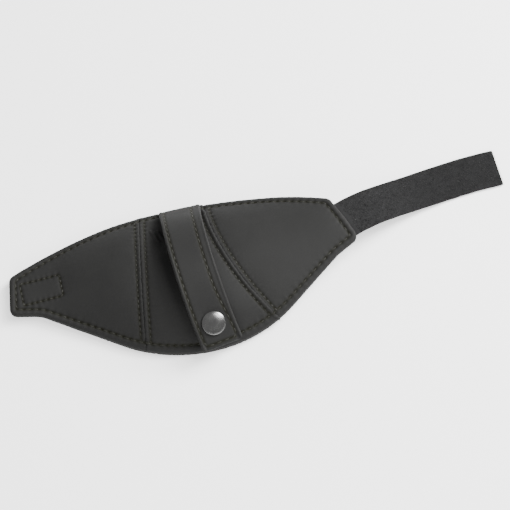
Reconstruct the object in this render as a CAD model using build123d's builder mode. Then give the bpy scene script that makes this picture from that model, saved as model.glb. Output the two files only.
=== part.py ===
from build123d import *
import os
from math import asin, atan2, cos, degrees, hypot, radians, sin, sqrt, tan

os.makedirs("parts", exist_ok=True)

# Eye patch: a padded leather band of three panels, domed over the eye, with a snap strap
# across its cup and a hook-and-loop closure. It rests hollow side down on Z = 0, the band
# runs along X from the nose tip to the temple end, and Y runs up the face.

# ---- driving dimensions (mm) ----

# Materials and fits
leather = 1.2               # cover leather
padding = 1.6               # foam under the cover
lining = 0.8                # soft lining against the face
fit = 0.05                  # clearance between sewn layers
seam_gap = 0.2              # between neighbouring covers
hem = 6.0                   # turned edge, two leathers thick
lining_inset = 1.5          # lining stops short of the edge
thread = 0.3                # height of a stitched row
thread_width = 0.6
edge_stitch = 3.5           # stitched row from the edge
seam_stitch = 2.5           # stitched row from a seam

# Outline of the band, seen from above
cup_x = -36.0               # lowest point of the belly
crown_y = 43.0              # top edge above the cup
belly_y = -41.5             # bottom edge under the cup
belly_radius = 84.0
flank_slope = 34.2          # degrees, both flanks of the belly
nose_tip_x = -137.0
nose_top = (nose_tip_x + 3.5, 24.0)
nose_bottom_y = 2.5
nose_waist_x = max(cup_x - 85.0, nose_tip_x + 16.0)
temple_end_x = 43.0
temple_top = (temple_end_x, 25.0)
temple_bottom = (temple_end_x + 9.6, -1.6)
temple_waist_x = min(cup_x + 76.0, temple_end_x - 3.0)
corner_radius = 4.0

# Dome of the band
crown_radius = 69.0         # outer face, across the band
arch_half_angle = 46.0      # degrees of arc drawn each side of the crest
nose_crest = (13.5, 5.4)    # crest Y and Z at the nose tip
temple_crest = (11.5, 15.8) # crest Y and Z at the lifted temple end

# Seams
nose_seam = ((cup_x - 22.0, crown_y + 3.0), (cup_x - 37.0, belly_y - 2.5))
temple_seam = (
    (cup_x + 13.2, crown_y + 3.0),
    (cup_x + 16.6, 5.0),
    (cup_x + 42.5, belly_y + 1.5),
)

# Snap strap
strap_width = 22.0
strap_face = 1.2
strap_backing = 0.9
strap_bow = 244.0           # radius of its centre line, seen from above
strap_bow_y = 12.0
strap_x = -38.0             # centre line at strap_bow_y
strap_tail = 12.5           # past the snap
strap_gap = 6.6             # over the crest of the cup
strap_back_slope = 40.0     # degrees, down to the top edge
strap_fold = 8.0            # inner radius of the fold at the top edge
notch_depth = 4.1           # relief in the top edge for the fold
notch_side = 0.6            # beside the strap, in the relief
backing_inset = 0.8         # backing stops short of the face's edge
tail_skew = 7.0             # degrees, end cut square to the bowed strap
strap_stitch = 1.9          # stitched row from the strap's edge
root_tuck = 5.0             # strap or tape held inside the hem
root_reach = 0.6            # strap or tape fixed outside the edge
hinge_clearance = 0.3

# Snap fastener
snap_y = -29.5
snap_gap = 4.0              # cup leather to strap
cap_diameter = 12.5
cap_height = 2.1
socket_diameter = 10.0
socket_mouth = 7.2
stud_head = 4.2
stud_neck = 3.0
flange_diameter = 9.2
flange_height = 0.9
stud_seat = 0.15            # under the rim of the stud's flat flange
shank_diameter = 2.4
shank_clearance = 0.15
snap_clearance = 0.3
spring_wire = 0.6

# Hook patch behind the nose tip
patch_length = 26.0
patch_height = 17.0
patch_thickness = 1.1
patch_x = nose_tip_x + 19.0
patch_y = 12.5
patch_stitch = 2.3
patch_seat = 0.5            # flat patch under the curved lining

# Loop tape at the temple end
tape_width = 22.3
tape_thickness = 1.6
tape_bow = 265.0            # radius of its centre line, seen from above
tape_shift = (0.4, -1.2)    # from the middle of the temple end, along X and Y
tape_slope_run = 35.0       # from the temple end down to the table
tape_flat_run = 53.5        # lying on the table

# ---- derived places ----

shell = leather + padding + lining
strap_thickness = strap_face + strap_backing
cup_mid_y = (crown_y + belly_y) / 2
cup_half = (crown_y - belly_y) / 2
cover_depth = leather + padding
cup_crest = crown_radius - sqrt((crown_radius - cover_depth) ** 2 - cup_half ** 2)
dome_z = cup_crest - crown_radius

# Crest of the outer face along the band: X, Y, Z
crest_line = (
    (nose_tip_x - 4, nose_crest[0], nose_crest[1]),
    (nose_tip_x + 20, 12.4, 7.0),
    (nose_tip_x + 40, 9.6, 9.8),
    (cup_x - 32, cup_mid_y + 3.0, cup_crest - 2.4),
    (cup_x, cup_mid_y, cup_crest),
    (cup_x + 38, cup_mid_y + 3.0, cup_crest - 2.0),
    (temple_waist_x - 12, temple_crest[0] - 3, temple_crest[1] - 0.5),
    (temple_bottom[0] + 4, temple_crest[0], temple_crest[1]),
)


def arc_drop(radius, offset):
    """How far a circle falls below its top at a distance from its middle."""
    return radius - sqrt(radius ** 2 - offset ** 2)


def layer(near, far):
    """Domed slab between two depths under the outer face of the band."""
    with BuildPart() as slab:
        for x, y, z in crest_line:
            centre = (y, z - crown_radius)
            first = 90 - arch_half_angle
            with BuildSketch(Plane.YZ.offset(x)):
                with BuildLine():
                    top = CenterArc(centre, crown_radius - near, first, 2 * arch_half_angle)
                    under = CenterArc(centre, crown_radius - far, first, 2 * arch_half_angle)
                    Line(top @ 0, under @ 0)
                    Line(top @ 1, under @ 1)
                make_face()
        loft()
    return slab.part


def columns(plan):
    """Upright prism over a plan, tall enough to cross the whole band."""
    with BuildPart() as prism:
        with BuildSketch(Plane.XY.offset(-10)):
            add(plan)
        extrude(amount=60)
    return prism.part


def offset_path(points, distance):
    """Corner points of a path moved sideways, to the left of its travel."""
    moved = []
    for i, (u, v) in enumerate(points):
        normals = []
        for a, b in ((i - 1, i), (i, i + 1)):
            if a >= 0 and b < len(points):
                du, dv = points[b][0] - points[a][0], points[b][1] - points[a][1]
                size = hypot(du, dv)
                normals.append((-dv / size, du / size))
        n, m = normals[0], normals[-1]
        share = distance / (1 + n[0] * m[0] + n[1] * m[1])
        moved.append((u + share * (n[0] + m[0]), v + share * (n[1] + m[1])))
    return moved


def draw_strip(points, radii, low, high):
    """Closed outline of a strip between two offsets of a rounded path."""
    turns = []
    for a, b, c in zip(points, points[1:], points[2:]):
        cross = (b[0] - a[0]) * (c[1] - b[1]) - (b[1] - a[1]) * (c[0] - b[0])
        turns.append(-1 if cross > 0 else 1)
    sides = []
    for distance in (low, high):
        bends = [r + turn * distance for r, turn in zip(radii, turns)]
        sides.append(FilletPolyline(*offset_path(points, distance), radius=bends))
    Line(sides[0] @ 0, sides[1] @ 0)
    Line(sides[0] @ 1, sides[1] @ 1)


def save(piece, name):
    """Label a finished piece and write it under its node's name."""
    piece.label = name
    export_step(piece, f"parts/{name}.step")


# ---- plan outlines ----

flank = tan(radians(flank_slope))
belly_corner_y = belly_y - belly_radius * (1 / cos(radians(flank_slope)) - 1)
nose_waist = (nose_waist_x, belly_corner_y + flank * (cup_x - nose_waist_x))
temple_waist = (temple_waist_x, belly_corner_y + flank * (temple_waist_x - cup_x))
strap_bow_centre = (strap_x + strap_bow, strap_bow_y)
notch_y = crown_y - notch_depth
strap_top_x = strap_bow_centre[0] - sqrt(strap_bow ** 2 - (notch_y - strap_bow_y) ** 2)


def full_outline(inset=0.0):
    """Plan of the whole band, pulled in all round."""
    with BuildSketch() as plan:
        with BuildLine():
            ThreePointArc(nose_top, (cup_x - 9, crown_y), temple_top)
            Line(temple_top, temple_bottom)
            FilletPolyline(
                temple_bottom,
                temple_waist,
                (cup_x, belly_corner_y),
                nose_waist,
                (nose_tip_x, nose_bottom_y),
                radius=(18, belly_radius, 18),
            )
            Line((nose_tip_x, nose_bottom_y), nose_top)
        make_face()
        if inset:
            offset(amount=-inset, kind=Kind.INTERSECTION, mode=Mode.REPLACE)
        corners = plan.vertices().sort_by(Axis.X)
        fillet([*corners[:2], *corners[-2:]], max(corner_radius - inset, 1.0))
    return plan.sketch


def band_outline(inset=0.0):
    """The whole band less the relief for the strap's fold."""
    with BuildSketch() as plan:
        add(full_outline(inset))
        with Locations((strap_top_x, notch_y + 10 - inset)):
            Rectangle(strap_width + 2 * notch_side + 2 * inset, 20, mode=Mode.SUBTRACT)
    return plan.sketch


far_x = 200.0


def beyond_nose_seam(shift):
    """Everything to the right of the nose seam moved sideways."""
    top, low = [(x + shift, y) for x, y in nose_seam]
    with BuildSketch() as side:
        with BuildLine():
            Polyline(top, low, (far_x, low[1]), (far_x, top[1]), close=True)
        make_face()
    return side.sketch


def beyond_temple_seam(shift):
    """Everything to the right of the curved temple seam moved sideways."""
    top, middle, low = [(x + shift, y) for x, y in temple_seam]
    with BuildSketch() as side:
        with BuildLine():
            ThreePointArc(top, middle, low)
            Polyline(low, (far_x, low[1]), (far_x, top[1]), top)
        make_face()
    return side.sketch


def panel_outline(name, inset=0.0):
    """Plan of one panel, pulled in from the edge and from its seams."""
    half = seam_gap / 2 + inset
    with BuildSketch() as plan:
        add(band_outline(inset))
        if name == "nose":
            add(beyond_nose_seam(-half), mode=Mode.SUBTRACT)
        if name == "cup":
            add(beyond_nose_seam(half), mode=Mode.INTERSECT)
            add(beyond_temple_seam(-half), mode=Mode.SUBTRACT)
        if name == "temple":
            add(beyond_temple_seam(half), mode=Mode.INTERSECT)
    return plan.sketch


# ---- where the strap and the snap stand ----

snap_tilt = degrees(asin((cup_mid_y - snap_y) / crown_radius))
snap_lean = radians(snap_tilt)
snap_x = strap_bow_centre[0] - sqrt(strap_bow ** 2 - (snap_y - strap_bow_y) ** 2)
snap_foot = Vector(snap_x, snap_y, dome_z + crown_radius * cos(snap_lean))
snap_up = Vector(0, -sin(snap_lean), cos(snap_lean))
snap_axis = Axis(snap_foot, snap_up)
snap_section = Plane(
    origin=snap_foot,
    x_dir=(1, 0, 0),
    z_dir=(0, -cos(snap_lean), -sin(snap_lean)),
)
snap_face = Plane(origin=snap_foot, x_dir=(1, 0, 0), z_dir=snap_up)
snap_bore = shank_diameter / 2 + shank_clearance

# Hinge line of the strap, on the middle of its root
root_radius = crown_radius - leather - padding / 2
root_lean = asin((notch_y - cup_mid_y) / root_radius)
strap_hinge_out = root_reach + strap_thickness / 2 + hinge_clearance
strap_hinge_y = notch_y + strap_hinge_out
strap_hinge_z = dome_z + root_radius * cos(root_lean) - strap_hinge_out * tan(root_lean)

# Underside of the strap in the YZ plane: tail, peak over the cup, fold, hinge
back = radians(strap_back_slope)
strap_foot = (
    snap_foot.Y + snap_gap * snap_up.Y,
    snap_foot.Z + snap_gap * snap_up.Z,
)
tail = (
    strap_foot[0] - strap_tail * cos(snap_lean),
    strap_foot[1] - strap_tail * sin(snap_lean),
)
fold_y = strap_hinge_y - strap_thickness / 2
fold = (fold_y, strap_hinge_z + 0.8 + strap_fold * tan((radians(90) - back) / 2))
rise = (
    (fold[0] - tail[0]) * sin(back) + (fold[1] - tail[1]) * cos(back)
) / sin(snap_lean + back)
peak = (tail[0] + rise * cos(snap_lean), tail[1] + rise * sin(snap_lean))
half_turn = (snap_lean + back) / 2
peak_fall = cos((snap_lean - back) / 2) / cos(half_turn) - 1
peak_radius = (peak[1] - cup_crest - strap_gap) / peak_fall
strap_path = (tail, peak, fold, (fold_y, strap_hinge_z))
strap_bends = (peak_radius, strap_fold)

# ---- covers, padding and lining ----

cover_layer = layer(0, cover_depth)
pocket_layer = layer(leather, shell + 2)
pad_layer = layer(leather + fit, cover_depth - fit)

tape_heading = -atan2(temple_top[0] - temple_bottom[0], temple_top[1] - temple_bottom[1])
tape_start = Vector(
    (temple_top[0] + temple_bottom[0]) / 2 + tape_shift[0],
    (temple_top[1] + temple_bottom[1]) / 2 + tape_shift[1],
)
tape_ahead = Vector(cos(tape_heading), sin(tape_heading))


def root_plan(centre, heading, width, clearance):
    """Plan of a strip's root: tucked into the hem and reaching past the edge."""
    with BuildSketch() as plan:
        middle = (root_reach - root_tuck) / 2
        spot = (centre[0] + middle * cos(heading), centre[1] + middle * sin(heading))
        with Locations(Location((spot[0], spot[1]), degrees(heading))):
            Rectangle(root_reach + root_tuck + 2 * clearance, width + 2 * clearance)
    return plan.sketch


strap_root_place = ((strap_top_x, notch_y), radians(90), strap_width)
tape_root_place = ((tape_start.X, tape_start.Y), tape_heading, tape_width)

panels = (("nose", None), ("cup", strap_root_place), ("temple", tape_root_place))
for name, root in panels:
    with BuildPart() as cover:
        add(columns(panel_outline(name)))
        add(cover_layer, mode=Mode.INTERSECT)
        with BuildPart(mode=Mode.PRIVATE) as pocket:
            add(columns(panel_outline(name, hem)))
            if root:
                add(columns(root_plan(*root, clearance=2 * fit)))
            add(pocket_layer, mode=Mode.INTERSECT)
        add(pocket.part, mode=Mode.SUBTRACT)
        if name == "cup":
            with BuildSketch(snap_face.offset(-shell - 2)):
                Circle(snap_bore)
            extrude(amount=shell + 4, mode=Mode.SUBTRACT)
    save(cover.part, f"{name}_panel_cover")

    with BuildPart() as pad:
        add(columns(panel_outline(name, hem + 2 * fit)))
        add(pad_layer, mode=Mode.INTERSECT)
        if name == "cup":
            with BuildSketch(snap_face.offset(-shell - 2)):
                Circle(snap_bore)
            extrude(amount=shell + 4, mode=Mode.SUBTRACT)
    save(pad.part, f"{name}_padding")

with BuildPart() as face_lining:
    add(columns(band_outline(lining_inset)))
    add(layer(cover_depth + fit, shell), mode=Mode.INTERSECT)
    with BuildSketch(snap_face.offset(-shell - 2)):
        Circle(snap_bore)
    extrude(amount=shell + 4, mode=Mode.SUBTRACT)
save(face_lining.part, "face_lining")

# ---- snap strap ----

root_layer = layer(leather + 2 * fit, cover_depth - 2 * fit)
with BuildPart() as strap_root:
    add(columns(root_plan(*strap_root_place, clearance=0)))
    add(root_layer, mode=Mode.INTERSECT)
save(strap_root.part, "snap_strap_root")


def strap_layer(plan, low, high, bored):
    """Strip of the strap between two offsets from its underside, cut to a plan."""
    with BuildPart() as strip:
        with BuildSketch(Plane.YZ.offset(strap_x - 2 * strap_width)):
            with BuildLine():
                draw_strip(strap_path, strap_bends, low, high)
            make_face()
        extrude(amount=4 * strap_width)
        add(columns(plan), mode=Mode.INTERSECT)
        if bored:
            with BuildSketch(snap_face):
                Circle(snap_bore)
            extrude(amount=snap_gap + 8, mode=Mode.SUBTRACT)
    return strip.part


def strap_outline(inset):
    """Plan of the strap, pulled in at its sides and its tail."""
    with BuildSketch() as plan:
        with Locations(strap_bow_centre):
            Circle(strap_bow + strap_width / 2 - inset)
            Circle(strap_bow - strap_width / 2 + inset, mode=Mode.SUBTRACT)
        with Locations(Location((snap_x, tail[0] + 90 + inset), tail_skew)):
            Rectangle(3 * strap_width, 180, mode=Mode.INTERSECT)
        corners = plan.vertices().group_by(Axis.Y)[:2]
        fillet([corner for row in corners for corner in row], 2.5)
    return plan.sketch


save(strap_layer(strap_outline(0), strap_backing + fit, strap_thickness, True), "snap_strap_face")
save(strap_layer(strap_outline(backing_inset), 0, strap_backing, True), "snap_strap_backing")

with BuildSketch() as strap_rows:
    add(strap_outline(strap_stitch - thread_width / 2))
    add(strap_outline(strap_stitch + thread_width / 2), mode=Mode.SUBTRACT)
row_low = strap_thickness + fit / 2
save(strap_layer(strap_rows.sketch, row_low, row_low + thread, False), "snap_strap_stitching")

# ---- snap fastener ----

with BuildPart() as snap_stud:
    with BuildSketch(snap_section):
        with BuildLine():
            head_low = snap_gap - 1.75
            head_high = snap_gap - 0.7
            Polyline(
                (snap_bore, stud_seat),
                (flange_diameter / 2, stud_seat),
                (flange_diameter / 2, flange_height - 0.3),
                (flange_diameter / 2 - 0.4, flange_height),
                (stud_neck / 2, flange_height),
                (stud_neck / 2, head_low),
                (stud_head / 2, head_low + 0.35),
                (stud_head / 2, head_high - 0.4),
                (stud_head / 2 - 0.5, head_high),
                (0, head_high),
                (0, head_low),
                (snap_bore, head_low),
                close=True,
            )
        make_face()
    revolve(axis=snap_axis)
save(snap_stud.part, "snap_stud")

with BuildPart() as snap_post:
    post_low = -shell - arc_drop(crown_radius - shell, flange_diameter / 2) - fit
    with BuildSketch(snap_section):
        with BuildLine():
            Polyline(
                (0, post_low - 0.6),
                (flange_diameter / 2 - 0.3, post_low - 0.6),
                (flange_diameter / 2, post_low - 0.3),
                (flange_diameter / 2, post_low),
                (shank_diameter / 2, post_low),
                (shank_diameter / 2, head_low - fit),
                (0, head_low - fit),
                close=True,
            )
        make_face()
    revolve(axis=snap_axis)
save(snap_post.part, "snap_post")

lip_low = flange_height + snap_clearance
lip_high = lip_low + 0.4
ceiling = snap_gap - 0.4
with BuildPart() as snap_socket:
    with BuildSketch(snap_section):
        with BuildLine():
            Polyline(
                (socket_mouth / 2, lip_low),
                (socket_diameter / 2 - 0.3, lip_low),
                (socket_diameter / 2, lip_low + 0.3),
                (socket_diameter / 2, snap_gap - fit),
                (snap_bore, snap_gap - fit),
                (snap_bore, ceiling),
                (socket_mouth / 2, ceiling),
                (socket_diameter / 2 - 0.4, ceiling - 0.4),
                (socket_diameter / 2 - 0.4, lip_high),
                (socket_mouth / 2, lip_high),
                close=True,
            )
        make_face()
    revolve(axis=snap_axis)
save(snap_socket.part, "snap_socket")

spring_length = socket_diameter - 1.0
spring_width = stud_neck + 2 * spring_wire + 0.3
with BuildPart() as snap_spring:
    with BuildSketch(snap_face.offset(lip_high + fit)):
        SlotOverall(spring_length, spring_width)
        inner_width = spring_width - 2 * spring_wire
        SlotOverall(spring_length - 2 * spring_wire, inner_width, mode=Mode.SUBTRACT)
    extrude(amount=spring_wire)
save(snap_spring.part, "snap_socket_spring")

cap_low = snap_gap + strap_thickness + fit
shank = shank_diameter / 2
rim = cap_diameter / 2
dome_rise = cap_height - 0.8
dome_radius = ((rim - 0.35) ** 2 + dome_rise ** 2) / (2 * dome_rise)
with BuildPart() as snap_cap:
    with BuildSketch(snap_section):
        with BuildLine():
            Polyline(
                (0, cap_low + cap_height),
                (0, ceiling),
                (shank, ceiling),
                (shank, cap_low),
                (rim - 0.35, cap_low),
            )
            ThreePointArc(
                (rim - 0.35, cap_low),
                (rim, cap_low + 0.4),
                (rim - 0.35, cap_low + 0.8),
            )
            ThreePointArc(
                (rim - 0.35, cap_low + 0.8),
                (rim / 2, cap_low + cap_height - arc_drop(dome_radius, rim / 2)),
                (0, cap_low + cap_height),
            )
        make_face()
    revolve(axis=snap_axis)
save(snap_cap.part, "snap_cap")

# ---- hook patch behind the nose tip ----


def crest_at(x):
    """Crest Y and Z of the outer face between two places of the crest line."""
    for (x0, y0, z0), (x1, y1, z1) in zip(crest_line, crest_line[1:]):
        if x <= x1:
            share = (x - x0) / (x1 - x0)
            return y0 + share * (y1 - y0), z0 + share * (z1 - z0)
    return crest_line[-1][1:]


patch_ends = []
for end_x in (patch_x - patch_length / 2, patch_x + patch_length / 2):
    crest_y, crest_z = crest_at(end_x)
    reach = abs(patch_y - crest_y) + patch_height / 2
    fall = shell + arc_drop(crown_radius - shell, reach)
    patch_ends.append(crest_z - fall - patch_seat)
patch_rise = atan2(patch_ends[1] - patch_ends[0], patch_length)
patch_plane = Plane(
    origin=(patch_x, patch_y, sum(patch_ends) / 2),
    x_dir=(cos(patch_rise), 0, sin(patch_rise)),
    z_dir=(-sin(patch_rise), 0, cos(patch_rise)),
)
with BuildPart() as hook_patch:
    with BuildSketch(patch_plane):
        RectangleRounded(patch_length, patch_height, 2)
    extrude(amount=-patch_thickness)
save(hook_patch.part, "hook_patch")

# ---- loop tape ----

with BuildPart() as tape_root:
    add(columns(root_plan(*tape_root_place, clearance=0)))
    add(root_layer, mode=Mode.INTERSECT)
save(tape_root.part, "loop_tape_root")

root_hinge_out = root_reach + tape_thickness / 2 + hinge_clearance
root_hinge = tape_start + tape_ahead * root_hinge_out
hinge_crest = crest_at(root_hinge.X)[1]
root_hinge_z = hinge_crest - leather - padding / 2 - arc_drop(crown_radius, tape_width / 4)
tape_centre = root_hinge + Vector(sin(tape_heading), -cos(tape_heading)) * tape_bow
start_angle = 90 + degrees(tape_heading)
slope_angle = degrees(tape_slope_run / tape_bow)
flat_angle = degrees(tape_flat_run / tape_bow)
gap_angle = degrees((tape_thickness / 2 + hinge_clearance) / tape_bow)


def tape_plan(first, last, inset=0.0):
    """Bowed strip of tape between two angles about the centre of its bow."""
    with BuildSketch() as plan:
        with BuildLine():
            middle = (tape_centre.X, tape_centre.Y)
            outer = CenterArc(middle, tape_bow + tape_width / 2 - inset, last, first - last)
            inner = CenterArc(middle, tape_bow - tape_width / 2 + inset, last, first - last)
            Line(outer @ 0, inner @ 0)
            Line(outer @ 1, inner @ 1)
        make_face()
    return plan.sketch


def fold_nose(angle, height):
    """Rounded end of a tape length, about its fold line."""
    reach = tape_bow - tape_width / 2
    across = (cos(radians(angle)), sin(radians(angle)), 0)
    foot = (tape_centre.X + reach * across[0], tape_centre.Y + reach * across[1], height)
    with BuildPart() as nose:
        with BuildSketch(Plane(origin=foot, x_dir=(0, 0, 1), z_dir=across)):
            Circle(tape_thickness / 2)
        extrude(amount=tape_width)
    return nose.part


# The sloping length falls in an easy S to the table
slope_heading = tape_heading - radians(slope_angle / 2)
lay = tape_thickness / 2
slope_path = (
    (-3, root_hinge_z + 0.35),
    (8, root_hinge_z - 0.9),
    (tape_slope_run - 9, lay),
    (tape_slope_run + 8, lay),
)
slope_side = Plane(
    origin=(root_hinge.X, root_hinge.Y, 0),
    x_dir=(cos(slope_heading), sin(slope_heading), 0),
    z_dir=(sin(slope_heading), -cos(slope_heading), 0),
)
with BuildPart() as tape_slope:
    with BuildSketch(slope_side.offset(-tape_width)):
        with BuildLine():
            draw_strip(slope_path, (16, 18), -tape_thickness / 2, tape_thickness / 2)
        make_face()
    extrude(amount=2 * tape_width)
    slope_plan = tape_plan(start_angle, start_angle - slope_angle + gap_angle)
    add(columns(slope_plan), mode=Mode.INTERSECT)
    add(fold_nose(start_angle, root_hinge_z))
save(tape_slope.part, "loop_tape_slope")

fold_angle = start_angle - slope_angle
with BuildPart() as tape_end:
    with BuildSketch():
        add(tape_plan(fold_angle, fold_angle - flat_angle))
    extrude(amount=tape_thickness)
    add(fold_nose(fold_angle, lay))
save(tape_end.part, "loop_tape_end")

# ---- stitched rows, each standing on its leather ----

row_near = -thread - fit / 2
row_far = -fit / 2
row_layer = layer(row_near, row_far)


def stitched_row(plan, name):
    """Raised row of stitches over a plan on the outer face of the band."""
    with BuildPart() as row:
        add(columns(plan))
        add(row_layer, mode=Mode.INTERSECT)
    save(row.part, name)


with BuildSketch() as edge_row:
    add(full_outline(edge_stitch - thread_width / 2))
    add(full_outline(edge_stitch + thread_width / 2), mode=Mode.SUBTRACT)
    with Locations((strap_top_x, crown_y)):
        Rectangle(strap_width + 2 * notch_side, 20, mode=Mode.SUBTRACT)
stitched_row(edge_row.sketch, "edge_stitching")


def slanted_rows(curve, points):
    """Plan of two rows beside a seam."""
    with BuildSketch() as rows:
        for side in (-seam_stitch, seam_stitch + seam_gap):
            with BuildSketch(mode=Mode.PRIVATE) as row:
                with BuildLine():
                    near = [(x + side - thread_width / 2, y) for x, y in points]
                    far = [(x + side + thread_width / 2, y) for x, y in points]
                    first = curve(*near)
                    second = curve(*far)
                    Line(first @ 0, second @ 0)
                    Line(first @ 1, second @ 1)
                make_face()
            add(row.sketch)
        add(full_outline(edge_stitch + thread_width), mode=Mode.INTERSECT)
    return rows.sketch


stitched_row(slanted_rows(Line, nose_seam), "nose_seam_stitching")
stitched_row(slanted_rows(ThreePointArc, temple_seam), "temple_seam_stitching")

with BuildSketch() as patch_rows:
    with Locations((patch_x, patch_y)):
        outer_size = 2 * patch_stitch - thread_width
        inner_size = 2 * patch_stitch + thread_width
        Rectangle(patch_length - outer_size, patch_height - outer_size)
        Rectangle(patch_length - inner_size, patch_height - inner_size, mode=Mode.SUBTRACT)
stitched_row(patch_rows.sketch, "hook_patch_stitching")

with BuildSketch() as anchor_row:
    with Locations((strap_top_x, notch_y - root_tuck / 2 - 0.3)):
        Rectangle(strap_width - 3, thread_width)
stitched_row(anchor_row.sketch, "strap_anchor_stitching")
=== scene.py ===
import math

import bmesh
import bpy
import numpy as np
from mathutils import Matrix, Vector, noise
from mathutils.bvhtree import BVHTree
from mathutils.kdtree import KDTree


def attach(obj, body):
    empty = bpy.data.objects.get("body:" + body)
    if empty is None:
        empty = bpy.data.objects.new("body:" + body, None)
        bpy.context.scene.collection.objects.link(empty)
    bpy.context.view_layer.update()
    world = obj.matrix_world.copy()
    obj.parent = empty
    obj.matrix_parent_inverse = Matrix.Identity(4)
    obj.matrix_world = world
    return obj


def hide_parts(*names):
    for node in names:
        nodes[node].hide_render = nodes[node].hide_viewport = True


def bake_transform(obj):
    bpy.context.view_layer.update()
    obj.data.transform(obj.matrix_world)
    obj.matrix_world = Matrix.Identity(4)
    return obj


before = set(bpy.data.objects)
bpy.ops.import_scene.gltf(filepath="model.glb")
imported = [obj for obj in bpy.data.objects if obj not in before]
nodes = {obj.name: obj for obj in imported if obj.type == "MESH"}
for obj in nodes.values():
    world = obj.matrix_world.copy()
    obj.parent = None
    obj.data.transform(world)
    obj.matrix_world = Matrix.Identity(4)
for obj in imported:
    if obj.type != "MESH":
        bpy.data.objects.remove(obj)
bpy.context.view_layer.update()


# ---- Panel covers -------------------------------------------------------------------------
# Three pieces of smooth charcoal calf leather, skived and turned over a thin foam, then sewn
# edge to edge. The turned edge makes a soft roll outside the stitched row that runs round it.

MM = 0.001                              # sizes are in millimetres until a mesh is made


def rounded(corners, radii, closed=True, step=0.5):
    """Points along a polygon whose corners are arcs, in millimetres, evenly spaced."""
    count = len(corners)
    line = []
    for i, corner in enumerate(corners):
        here = np.array(corner, float)
        if not closed and i in (0, count - 1):
            line.append(here)
            continue
        back = np.array(corners[i - 1], float) - here
        ahead = np.array(corners[(i + 1) % count], float) - here
        back /= np.linalg.norm(back)
        ahead /= np.linalg.norm(ahead)
        half = math.acos(float(np.clip(back @ ahead, -1, 1))) / 2
        bisector = (back + ahead) / np.linalg.norm(back + ahead)
        middle = here + bisector * radii[i] / math.sin(half)
        run = radii[i] / math.tan(half)
        first, last = here + back * run - middle, here + ahead * run - middle
        sweep = math.pi - 2 * half
        pieces = max(4, int(radii[i] * sweep / step))
        for k in range(pieces + 1):
            a, b = math.sin(sweep * (1 - k / pieces)), math.sin(sweep * k / pieces)
            line.append(middle + (first * a + last * b) / math.sin(sweep))
    if closed:
        line.append(line[0])
    return even(np.array(line), step)


def even(line, step):
    """The same line with its points a step apart."""
    along = np.concatenate([[0], np.cumsum(np.linalg.norm(np.diff(line, axis=0), axis=1))])
    places = np.linspace(0, along[-1], max(2, int(along[-1] / step) + 1))
    return np.stack([np.interp(places, along, line[:, k]) for k in range(line.shape[1])], 1)


BELLY_RISE = math.radians(34.2)         # its flanks against X
BELLY_LOW, BELLY_ROUND = -41.5, 84.0    # lowest edge, and the radius there
BELLY_SLOPE = math.tan(BELLY_RISE)
BELLY_CORNER = BELLY_LOW - BELLY_ROUND * (1 / math.cos(BELLY_RISE) - 1)
BAND_CORNERS = (
    (-133.5, 24.0), (-45.0, 63.3), (43.0, 25.0), (52.6, -1.6),
    (40.0, BELLY_CORNER + 76.0 * BELLY_SLOPE), (-36.0, BELLY_CORNER),
    (-121.0, BELLY_CORNER + 85.0 * BELLY_SLOPE), (-137.0, 2.5),
)
BAND_RADII = (4.0, 212.0, 4.0, 4.0, 18.0, BELLY_ROUND, 18.0, 4.0)


def band_line(inset):
    """Closed line round the band, the given distance inside its edge."""
    line = rounded(BAND_CORNERS, BAND_RADII)[:-1]
    ahead = np.roll(line, -2, axis=0) - np.roll(line, 2, axis=0)
    ahead /= np.linalg.norm(ahead, axis=1)[:, None]
    moved = line + inset * np.stack([ahead[:, 1], -ahead[:, 0]], 1)
    return even(np.vstack([moved, moved[:1]]), 0.5)


def bowed(low, middle, high):
    """Arc through three points."""
    (ax, ay), (bx, by), (cx, cy) = low, middle, high
    rows = np.array([[bx - ax, by - ay], [cx - ax, cy - ay]])
    sides = np.array([bx**2 - ax**2 + by**2 - ay**2, cx**2 - ax**2 + cy**2 - ay**2]) / 2
    centre = np.linalg.solve(rows, sides)
    radius = math.hypot(ax - centre[0], ay - centre[1])
    ends = [math.atan2(p[1] - centre[1], p[0] - centre[0]) for p in (low, high)]
    ends = [a % (2 * math.pi) for a in ends]
    turn = np.linspace(ends[0], ends[1], 200)
    line = centre + radius * np.stack([np.cos(turn), np.sin(turn)], 1)
    return even(line, 0.5)


ROW_INSET = 3.5                         # stitched row from the edge
EDGE_PITCH, SEAM_PITCH = 4.0, 3.0       # one stitch to the next
SEAM_SIDES = (-2.5, 2.7)                # the two rows beside a seam
EDGE = band_line(0.0)
EDGE_ROW = band_line(ROW_INSET)
NOSE_SEAM = even(np.array([(-58.0, 46.0), (-73.0, -44.0)]), 0.5)
TEMPLE_SEAM = bowed((-22.8, 46.0), (-19.4, 5.0), (6.5, -40.0))


def inside(points, polygon):
    """Which points lie inside a closed line."""
    x, y = points[:, 0], points[:, 1]
    hit = np.zeros(len(points), bool)
    for (x0, y0), (x1, y1) in zip(polygon[:-1], polygon[1:]):
        if y0 != y1:
            cross = ((y0 > y) != (y1 > y)) & (x < (x1 - x0) * (y - y0) / (y1 - y0) + x0)
            hit ^= cross
    return hit


def beside(seam, offset, room):
    """The stretch of a line beside a seam that lies within the edge row."""
    line = seam + np.array([offset, 0.0])
    return line[inside(line, room)]


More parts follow.
